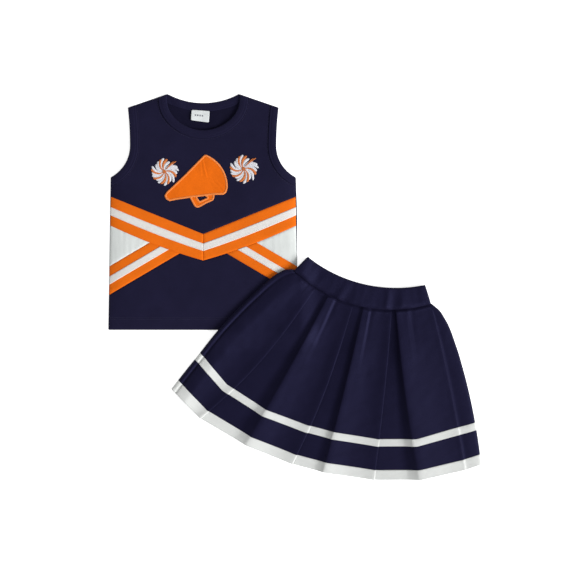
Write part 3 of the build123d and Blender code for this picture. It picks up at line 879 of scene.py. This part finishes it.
def pompom_strand(centre, radius, turn, width, curl, high, lift, inner=0.1):
    """One strand of thread: it leaves the middle, widens, sweeps round and ends in a blunt tip."""
    t = inner + (1 - inner) * (1 - (1 - np.linspace(0, 1, 17)) ** 1.5)
    angle = turn + curl * t ** 1.5
    line = centre + np.column_stack([np.cos(angle), np.sin(angle)]) * (radius * t)[:, None]
    normal = left_of(np.gradient(line, axis=0))
    tip = np.sqrt(np.clip(1 - np.clip((t - 0.86) / 0.14, 0, 1) ** 2, 0, 1))
    swell = (0.3 + 0.7 * smooth(t / 0.75)) * tip
    across = np.linspace(-1, 1, 7)
    half = (width / 2 * swell)[:, None] * across
    x, y = line[:, None, 0] + normal[:, None, 0] * half, line[:, None, 1] + normal[:, None, 1] * half
    ground = front_height(x, y)
    dome = high * np.sqrt(1 - across ** 2) * (0.35 + 0.65 * swell[:, None])
    weave = np.dstack([radius * t[:, None] + 0 * x, half, 0 * x])
    return np.dstack([x, y, ground + 0.1 + lift + dome]), np.dstack([x, y, ground - 0.2]), weave


def make_pompom(name, x, y, radius):
    """Tufts of two or three white strands between single orange ones, and a sprig at one o'clock."""
    centre = np.array([x, y])
    strands = {"w": [], "o": []}
    for k, (tip, reach, width, colour) in enumerate(TUFTS):
        high, lift = (0.9, 0.1 * (k % 3)) if colour == "w" else (1.1, 0.25)
        turn = math.radians(tip) - CURL
        strands[colour].append(pompom_strand(centre, radius * reach, turn, width, CURL, high, lift))
    for tip, reach, width in SPRIG:
        turn = math.radians(tip) - SPRIG_CURL
        strands["o"].append(pompom_strand(centre, radius * reach, turn, width, SPRIG_CURL, 1.1, 0.5, 0.2))
    strands["o"] += [pompom_strand(centre, 2.6, k * math.pi / 3, 2.6, 0.4, 1.1, 0.5, 0.0) for k in range(6)]
    for letter, colour in (("w", "white"), ("o", "orange")):
        obj = closed_grids(f"{name}_{colour}_tufts", strands[letter], MAT["pom_" + colour], shell_place)
        finish_piece(obj, "top", colour + "_satin", f"{name}_{colour}")


# ------------------------------------------------------------------ label
def make_label():
    """A blank satin label, sewn along its top edge, its corners rounded by wear."""
    hinge = np.array(LABEL_JOINT["pos_m"]) / MM
    wide, drop, slant, mark = 28.0, 17.4, 1.8, (2.2, 2.4)
    right = -np.array(LABEL_JOINT["axis"])
    down = np.cross(right, (0, 0, 1.0))
    loop = rounded([(-wide / 2, slant - drop), (wide / 2, -drop), (wide / 2, 0.4), (-wide / 2, 0.4)], 2.2)

    def place(points):
        points = np.asarray(points)
        return (hinge + points[:, :1] * right - points[:, 1:2] * down + points[:, 2:] * (0, 0, 1)) * MM

    def curl(x, y):
        free = smooth(-y / 8)
        bow = 0.5 * np.sin(-y / drop * math.pi) + 0.35 * (x / 14) ** 2 + 0.14 * wander(x, y, 9, 4)
        return 0.1 + bow * free

    obj = patch("blank_label", [loop], curl, MAT["label"], rise=raised(0.2, 0.4), thick=0.35, step=1.2,
                edge_step=0.8, rings=(0.25,), place=place)
    finish_piece(obj, "neck_label", "label_satin", "neck_label")
    SHEETS.append((obj, loop, 0.0))
    marks = []
    for k in range(4):
        x, y = np.meshgrid(-8.4 + 3.6 * k + np.array([0, mark[0]]), -8.6 - 0.15 * k + np.array([0, mark[1]]))
        top = np.dstack([x, y, curl(x, y) + 0.28])
        marks.append((top, top - (0, 0, 0.12), top))
    finish_piece(closed_grids("label_marks", marks, MAT["print"], place), "neck_label", "label_satin")
    xs = np.linspace(-wide / 2 + 1.2, wide / 2 - 1.2, 30)
    row = place(np.column_stack([xs, np.full_like(xs, -0.9), curl(xs, -0.9 + 0 * xs) + 0.2]))
    stitches("label_stitching", [row], MAT["white_thread"], "neck_label", "label_satin", 2.4, 1.7, 0.35, 0.1)


# ------------------------------------------------------------------ skirt
# knife pleats: the folded edge's angle at waist and hem and its bow, the next panel's crest, and its height
FOLDS = [
    ((-19.0, -24.0, 0.9), (-12.8, -14.2), 10.2),
    ((-2.0, -5.0, 0.6), (2.4, 1.0), 9.2),
    ((14.0, 10.5, -0.3), (15.8, 19.0), 10.4),
]
FOLD_UNDER = (3.0, 8.0)
TUCKS = [(-10.0, -11.0, 1.7), (5.0, 3.0, 1.7), (21.0, 19.6, 1.5)]  # angle at waist and hem, height
SIDE_FOLD = (30.5, 27.6)
# the sides: radius, and degrees from the middle
LEFT_EDGE = [(214, 31.2), (221, 32.9), (234, 34.1), (252, 34.6), (285, 34.6), (335, 34.2), (375, 33.6),
             (412, 32.8), (477, 31.6)]
RIGHT_EDGE = [(214, 30.6), (228, 32.8), (245, 33.8), (290, 34.1), (332, 33.6), (424, 31.9), (477, 30.7)]
# edges of the flat panels: the angle, then how far the cloth hangs out there at the tape and at the hem
KINKS = [
    (-31.6, -5.7, 1.0), (-24.0, 2.7, 5.5), (-14.2, 3.1, 2.2), (-5.0, 0.4, 0.9), (1.0, -0.1, 0.2),
    (11.0, 2.1, 1.6), (19.0, 3.2, 2.7), (27.6, -3.1, -0.2), (30.7, -2.6, -1.5),
]


def side_angle(r, edge):
    """A side's angle from the middle of the flare: a smooth curve through its points."""
    rs, angles = np.array(edge, float).T
    slopes = np.gradient(angles, rs)
    i = np.clip(np.searchsorted(rs, r) - 1, 0, len(rs) - 2)
    span = rs[i + 1] - rs[i]
    u = (r - rs[i]) / span
    return hermite(u, angles[i], slopes[i] * span, angles[i + 1], slopes[i + 1] * span)


def down(r):
    return (r - WAIST_R) / (HEM_R - WAIST_R)


def between(ends, r):
    """A value between its two ends down the skirt, bowed in the middle where a third number says so."""
    bow = ends[2] * np.sin(math.pi * down(r)) if len(ends) > 2 else 0
    return ends[0] + (ends[1] - ends[0]) * down(r) + bow


def panel_radius(r, angle):
    """Each panel hangs straight between its folds, so the hem runs in chords, not in an arc."""
    kinks, at_tape, at_hem = np.array(KINKS).T
    i = np.clip(np.searchsorted(kinks, angle) - 1, 0, len(kinks) - 2)
    half, middle = (kinks[i + 1] - kinks[i]) / 2, (kinks[i + 1] + kinks[i]) / 2
    chord = np.cos(np.radians(half)) / np.cos(np.radians(np.clip(angle - middle, -half, half)))
    low = np.clip((r - UPPER_TAPE[0]) / (HEM_R - UPPER_TAPE[0]), 0, 1)
    out = np.interp(angle, kinks, at_tape) * (1 - low) + np.interp(angle, kinks, at_hem) * low
    return r + (r * (chord - 1) + out) * smooth(down(r) * 1.6)


def lay_height(x, y):
    """What the skirt lies on: the shell's corner, bridging down to the floor beyond it."""
    sx, sy = x - SHELL_X, y - SHELL_Y
    return 6.3 * smooth((HEM_HALF + 34 - sx) / 32) * smooth((sy + 34) / 32)


# The skirt's section across one panel, as points of (place, height, mesh steps to the point).
SIDE_TUCK = ((0, 1.1, 1), (1.2, 3.0, 3), (5, 4.3, 3), (8.6, 3.1, 3), (11.5, 5.0, 4))  # mm from the left side
SAG = ((0, 1, 6), (0.22, 0.84, 6), (0.48, 0.62, 6), (0.74, 0.62, 6))  # shares of the way and of the height
LIP = ((-2, 0.84, 0, 5), (-0.5, 0.83, 0, 2), (-0.12, 0.8, 0, 2), (0, 0.74, -0.2, 2), (-0.4, 0.65, -0.5, 2),
       (-4, 0.56, -0.3, 3))  # mm past the fold, share of the crest's height, and mm added to it
LAST_SAG = ((0, 1, 4), (0.3, 0.8, 6), (0.65, 0.56, 6))


def control_points(r):
    """The front across the skirt at radius r, from its left side: (angle, height, steps to here).
    Each fold runs over the next panel, which climbs from under it to a crest and then sags."""
    left_edge, right_edge = side_angle(r, LEFT_EDGE), side_angle(r, RIGHT_EDGE)
    mm = np.degrees(1 / r)
    points = [(-left_edge + inward * mm, high, steps) for inward, high, steps in SIDE_TUCK]
    crest, tall = -left_edge + 27 * mm, 7.6
    for fold, ridge, high in FOLDS:
        at = between(fold, r)
        deep = np.minimum(between(FOLD_UNDER, r), at + left_edge - 10 * mm)
        points += [(crest + (at - crest) * along, tall * share, steps) for along, share, steps in SAG]
        points += [(at + past * mm, tall * share + more, steps) for past, share, more, steps in LIP]
        points += [(at - deep + 2 * mm, 3.0, 4), (at - deep, 2.5, 3), (at - deep + 2 * mm, 2.0, 3)]
        points += [(at - 3 * mm, 1.7, 4), (at + 2 * mm, 1.7, 4)]
        crest, tall = between(ridge, r), high
        climb = crest - at
        points += [(at + climb * 0.45, 2.4, 5), (at + climb * 0.72, 3.2, 5), (at + climb * 0.9, tall * 0.72, 5)]
    at = np.minimum(between(SIDE_FOLD, r), right_edge - 8 * mm)
    points += [(crest + (at - crest) * along, tall * share, steps) for along, share, steps in LAST_SAG]
    points += [(at - 8 * mm, tall * 0.5, 5), (at - 1.5 * mm, 5.4, 4), (at - 0.2 * mm, 5.1, 2)]
    points += [(at + 1.2 * mm, 3.2, 3), (at + (right_edge - at) * 0.5, 3.6, 4)]
    points += [(right_edge - 1.4 * mm, 3.0, 4), (right_edge, 1.1, 3)]
    gather = 0.42 + 0.58 * smooth(down(r) * 3.2)  # towards the waist the folds are drawn flatter
    heights = [3.6 + (high - 3.6) * gather if 1.2 < high else high + 1.8 * (1 - gather)
               for _, high, _ in points]
    return [(angle + 0 * r, high, steps) for (angle, _, steps), high in zip(points, heights)]


def hermite(u, a, start, b, end):
    """A smooth curve from a to b, for u from 0 to 1, that leaves and arrives with the given slopes."""
    return ((2 * u ** 3 - 3 * u ** 2 + 1) * a + (u ** 3 - 2 * u ** 2 + u) * start
            + (3 * u ** 2 - 2 * u ** 3) * b + (u ** 3 - u ** 2) * end)


def cross_sections(radii):
    """Grids of angle and height: rows down the skirt, columns along the cloth from left to right."""
    points = control_points(radii)
    angles = np.array([p[0] for p in points])
    heights = np.array([p[1] + 0 * radii for p in points])
    scale = np.radians(1) * radii
    out_a, out_h = [], []
    last = len(points) - 1
    for i in range(last):
        rows = [max(i - 1, 0), i, i + 1, min(i + 2, last)]
        a, h = [angles[k] * scale for k in rows], [heights[k] for k in rows]
        reach = np.hypot(a[2] - a[1], h[2] - h[1])

        def slope(p, q, far):
            """The direction of the cloth at a point, as long as the step it leads into."""
            across, up = a[q] - a[p], h[q] - h[p]
            size = np.maximum(np.hypot(across, up), 1e-6)
            return across / size * far, up / size * far

        start = slope(0, 2, reach) if i else slope(1, 2, reach)
        end = slope(1, 3, reach) if i < last - 1 else slope(1, 2, reach)
        count = points[i + 1][2]
        for k in range(count):
            u = k / count
            out_a.append(hermite(u, a[1], start[0], a[2], end[0]) / scale)
            out_h.append(hermite(u, h[1], start[1], h[2], end[1]))
    out_a.append(angles[-1])
    out_h.append(heights[-1])
    return np.array(out_a).T, np.array(out_h).T


def tuck_height(r, angle):
    """Short pleats at the waist: a step down to the right that runs out below the hip."""
    fade = smooth(1 - (r - WAIST_R) / 118)
    total = 0
    for waist, hem, high in TUCKS:
        off = (angle - between((waist, hem), r)) * np.radians(1) * r
        step = np.exp(-(off / 0.8) ** 2) - 0.55 * np.exp(-((off - 3) / 3.4) ** 2)
        total = total + fade * high * np.where(off < 0, np.exp(off / 11), step)
    return total


def skirt_surface(radii):
    """Points of the skirt's front face in metres, and the run of cloth along each row."""
    angle, height = cross_sections(radii)
    r = radii[:, None] + 0 * angle
    shown = smooth((height - 2.4) / 2.0)
    drawn_in = smooth((r - WAIST_R) / (5 + 2.4 * wander(angle * 5, r * 0, 16, 33)))
    height = height + tuck_height(r, angle) * shown
    height = height + 0.45 * wander(angle * 5, r * 0.6, 30, 17) * shown
    height = height + 0.25 * wander(angle * 5, r, 14, 27) * shown
    height = (height - 1.2) * (0.42 + 0.58 * drawn_in) + 1.2
    ridge = np.exp(-((r - WAIST_R - 5) / 1.8) ** 2)
    height = height + (0.4 + 0.5 * wander(angle * 5, 0 * r, 9, 61)) * ridge * shown
    run = np.concatenate([np.zeros((len(radii), 1)), np.cumsum(np.hypot(
        np.diff(angle, axis=1) * np.radians(1) * r[:, 1:], np.diff(height, axis=1)), axis=1)], axis=1)
    plan = polar(panel_radius(r, angle), angle)
    x, y = plan[..., 0], plan[..., 1]
    return np.dstack([x, y, lay_height(x, y) + 1.5 + height]) * MM, run


def upward_normals(grid):
    normal = grid_normals(grid)
    return -normal if normal[..., 2].mean() < 0 else normal


def grid_weave(run, radii):
    return np.dstack([run, np.broadcast_to(radii[:, None], run.shape), 0 * run])


def make_skirt_front():
    radii = np.concatenate([np.linspace(WAIST_R - 1, WAIST_R + 8, 10), np.linspace(WAIST_R + 11, HEM_R, 86)])
    top, run = skirt_surface(radii)
    bottom = top - upward_normals(top) * 0.6 * MM
    obj = closed_grids("skirt_front_cloth", [(top, bottom, grid_weave(run, radii))], MAT["skirt"])
    finish_piece(obj, "skirt", "skirt_navy", "skirt_panel_front")


TAPES = (("upper", "tape", UPPER_TAPE), ("hem", "hem_tape", HEM_TAPE))


def make_tape(name, tape, face, behind, run, node):
    radii = np.array(spread(*tape, len(face)))
    obj = closed_grids(name, [(face, behind, grid_weave(run, radii))], MAT["tape"])
    finish_piece(obj, "skirt", "white_tape", node)


def make_front_tapes():
    rows = []
    for name, kind, tape in TAPES:
        radii = np.array(spread(*tape, 13))
        top, run = skirt_surface(radii)
        normal = upward_normals(top)
        edge = np.minimum(radii - tape[0], tape[1] - radii)
        proud = 0.15 + 0.5 * np.sqrt(np.clip(1 - (1 - np.clip(edge / 0.8, 0, 1)) ** 2, 0, 1))
        face = top + normal * (proud * MM)[:, None, None]
        make_tape(f"skirt_{name}_tape", tape, face, top - normal * 0.05 * MM, run, f"skirt_{kind}_front")
        rows += [face[2], face[-3]]
    stitches("tape_stitching", rows, MAT["white_thread"], "skirt", "white_tape", width=0.4, lift=0.08)


def skirt_back_surface(radii):
    """The back lies flat underneath, its pleats showing only as low steps."""
    t = np.linspace(-1, 1, 160)
    left, right = side_angle(radii, LEFT_EDGE)[:, None], side_angle(radii, RIGHT_EDGE)[:, None]
    angle = (right - left) / 2 + ((right + left) / 2 - 0.15) * t
    r = radii[:, None] + 0 * angle
    plan = polar(panel_radius(r, angle) - 1.3 * smooth(down(r)), angle)
    x, y = plan[..., 0], plan[..., 1]
    step = np.zeros_like(angle)
    for fold, _, _ in FOLDS:
        at = between(fold, r)
        step -= 0.45 * smooth((angle - at + 8) / 7) * (angle < at)
    run = (angle - angle[:, :1]) * np.radians(1) * r
    return np.dstack([x, y, lay_height(x, y) + 1.5 + step + 1.2 * smooth(1 - down(r) * 5)]) * MM, run


def make_skirt_back():
    radii = np.linspace(WAIST_R - 1, HEM_R, 70)
    top, run = skirt_back_surface(radii)
    sheet = (top, top - np.array([0, 0, 0.6 * MM]), grid_weave(run, radii))
    obj = closed_grids("skirt_back_cloth", [sheet], MAT["skirt"])
    finish_piece(obj, "skirt", "skirt_navy", "skirt_panel_back")
    for name, kind, tape in TAPES:
        face, run = skirt_back_surface(np.array(spread(*tape, 9)))
        face = face - np.array([0, 0, 0.55 * MM])
        make_tape(f"skirt_{name}_tape_behind", tape, face, face - np.array([0, 0, 0.5 * MM]), run,
                  f"skirt_{kind}_back")


# a side seam's section: how far out, and how high
SIDE_ROLL = ((-3.4, 2.3), (-1.8, 2.6), (-0.4, 2.3), (0.35, 1.7), (0.5, 1.2), (0.0, 0.6), (-1.6, 0.4),
             (-3.4, 0.4))


def side_roll(side, name, start, end, material, slot, *nodes):
    """A stretch of the narrow roll that closes front to back at a side seam."""
    sign, edge = (1, RIGHT_EDGE) if side == "right" else (-1, LEFT_EDGE)
    radii = np.linspace(start, end, max(6, int((end - start) / 3)))
    out, high = np.array(SIDE_ROLL).T
    angles = sign * (side_angle(radii, edge)[:, None] + np.degrees(out[None, :] / radii[:, None]))
    grid = polar(panel_radius(radii[:, None] + 0 * angles, angles), angles)
    x, y = grid[..., 0], grid[..., 1]
    verts = np.dstack([x, y, lay_height(x, y) + 0.9 + high]).reshape(-1, 3)
    weave = np.dstack([radii[:, None] + 0 * x, out + 0 * x, 0 * x]).reshape(-1, 3)
    obj = make_object(f"skirt_side_{side}_{name}", verts * MM, tube_faces(*x.shape), weave, material)
    finish_piece(obj, "skirt", slot, *nodes)


def make_skirt_sides():
    """Side seams, navy between the tapes and white where the tapes run over them."""
    for side, _ in SIDES:
        side_roll(side, "roll", WAIST_R + 1, UPPER_TAPE[0], MAT["skirt"], "skirt_navy",
                  f"skirt_side_seam_{side}")
        side_roll(side, "roll_between", UPPER_TAPE[1], HEM_TAPE[0], MAT["skirt"], "skirt_navy")
        for name, _, tape in TAPES:
            side_roll(side, name + "_tape_end", *tape, MAT["tape"], "white_tape")


# soft upright folds in the waistband: angle, width in degrees, height
WAIST_EASE = [(-27, 3.0, 0.8), (-17, 3.4, 0.5), (-8.0, 1.6, 0.8), (-5.2, 1.4, -0.8), (-0.5, 2.6, 0.4),
              (8.5, 2.4, -0.5), (12.6, 1.3, 1.2), (15.6, 1.5, -1.3), (19.5, 1.8, 0.9), (25.5, 2.2, -0.6)]


def make_waistband():
    """Folded cloth round its elastic: a front and a back layer, joined at the side seams and open
    along the top, eased into soft upright folds and drawn in at the waist seam."""
    v = np.array(spread(0, 1, 25))[:, None]
    front = np.linspace(-1, 1, 170)
    bend = np.linspace(0, math.pi, 9)[1:-1]
    # round the ring: share of the half length, then how far past it and how high, on a unit circle
    shares = np.concatenate([front, np.ones(len(bend)), front[::-1], -np.ones(len(bend))])
    outward = np.concatenate([0 * front, np.sin(bend), 0 * front, -np.sin(bend)])
    upward = np.concatenate([1 + 0 * front, np.cos(bend), -1 + 0 * front, -np.cos(bend)])
    t = shares[None, :]
    top_r = WAIST_TOP_R - 0.5 + 4.2 * t ** 2
    r = top_r + (WAIST_R + 0.8 - top_r) * v
    rounding = np.sqrt(np.clip(1 - np.abs(2 * v - 1) ** 9, 0.02, 1))
    ends = np.clip(1 - np.abs(t) ** 40, 0, 1)
    on_top = np.clip(upward, 0, 1)[None, :] * ends
    angle = WAIST_ANGLE * t + 0 * v
    ease = 0.3 * wander(angle * 5, r * 0.5, 13, 40)
    for at, wide, high in WAIST_EASE:
        lean = (v - 0.5) * 1.8
        ease = ease + high * np.exp(-((angle + lean - at) / wide) ** 2) * (0.35 + 0.65 * v)
    drawn_in = smooth((v - 0.8) / 0.2) * (1.5 + 0.7 * wander(angle * 5, 0 * r, 18, 71))
    lift = (ease + 0.6) * rounding * on_top - drawn_in * on_top
    middle, apart = 4.2, 2.1
    grids = []
    for side in (1, -1):
        half = side * LAYER / 2 * rounding
        arc = (np.radians(WAIST_ANGLE) * r - apart - LAYER / 2) * t + (apart + half) * outward[None, :]
        height = middle + (apart + half) * upward[None, :] + lift
        plan = polar(r, np.degrees(arc / r))
        x, y = plan[..., 0], plan[..., 1]
        grids.append(np.dstack([x, y, lay_height(x, y) + height]) * MM)
    rows, columns = r.shape
    count = rows * columns
    faces = grid_faces(rows, columns, ring=True) + grid_faces(rows, columns, count, flip=True, ring=True)
    for first in (0, count - columns):
        ring = [first + j for j in range(columns)]
        faces += [(a, a + count, b + count, b) for a, b in zip(ring, ring[1:] + ring[:1])]
    around = 2.5 * np.arange(1, columns + 1) + 0 * r
    weave = np.concatenate([np.dstack([around, r, 0 * r]).reshape(-1, 3)] * 2)
    verts = np.concatenate([g.reshape(-1, 3) for g in grids])
    obj = make_object("waistband_cloth", verts, faces, weave, MAT["skirt"])
    finish_piece(obj, "skirt", "skirt_navy", "waistband", "waist_elastic")


# ------------------------------------------------------------------ stage, light and camera
def make_stage():
    low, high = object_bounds()
    centre = (low + high) / 2
    bpy.ops.mesh.primitive_plane_add(size=60, location=(centre.x, centre.y, -0.0002))
    floor = bpy.context.object
    floor.name = "floor"
    n = Nodes("floor_paper", 0.9, 0.0, 0.1)
    n.set(n.shader, {"Base Color": (0.96, 0.96, 0.96, 1), "Emission Color": (1, 1, 1, 1),
                     "Emission Strength": 0.62})
    floor.data.materials.append(n.material)
    floor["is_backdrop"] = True
    return centre


def make_lights():
    """Even light all round, and a broad soft key from low on the right."""
    world = bpy.data.worlds.new("studio")
    world.use_nodes = True
    world.node_tree.nodes["Background"].inputs["Color"].default_value = (1, 1, 1, 1)
    world.node_tree.nodes["Background"].inputs["Strength"].default_value = 0.52
    bpy.context.scene.world = world
    turn, tilt, level = math.radians(-22), math.radians(30), 0.68
    towards = Vector((math.cos(turn) * math.cos(tilt), math.sin(turn) * math.cos(tilt), math.sin(tilt)))
    data = bpy.data.lights.new("key", "SUN")
    data.energy, data.angle = level * math.pi / towards.z, math.radians(28)
    lamp = bpy.data.objects.new("key", data)
    lamp.rotation_euler = towards.to_track_quat("Z", "Y").to_euler()
    bpy.context.scene.collection.objects.link(lamp)


def make_camera(centre):
    data = bpy.data.cameras.new("camera")
    data.lens, data.sensor_width = 100, 36
    frame_width = 0.8928
    camera = bpy.data.objects.new("camera", data)
    camera.location = (centre.x - 0.0105, centre.y - 0.0016, frame_width * data.lens / data.sensor_width)
    bpy.context.scene.collection.objects.link(camera)
    bpy.context.scene.camera = camera
    bpy.context.scene.view_settings.view_transform = "Standard"


make_back()
make_front()
make_bindings()
make_band_stitches()
make_seams()
make_megaphone()
make_pompom("pompom_left", -59.8, 245.0, 20.2)
make_pompom("pompom_right", 62.6, 249.2, 21.2)
make_label()
declare_sheets()
make_skirt_back()
make_skirt_front()
make_front_tapes()
make_skirt_sides()
make_waistband()
centre = make_stage()
make_lights()
make_camera(centre)
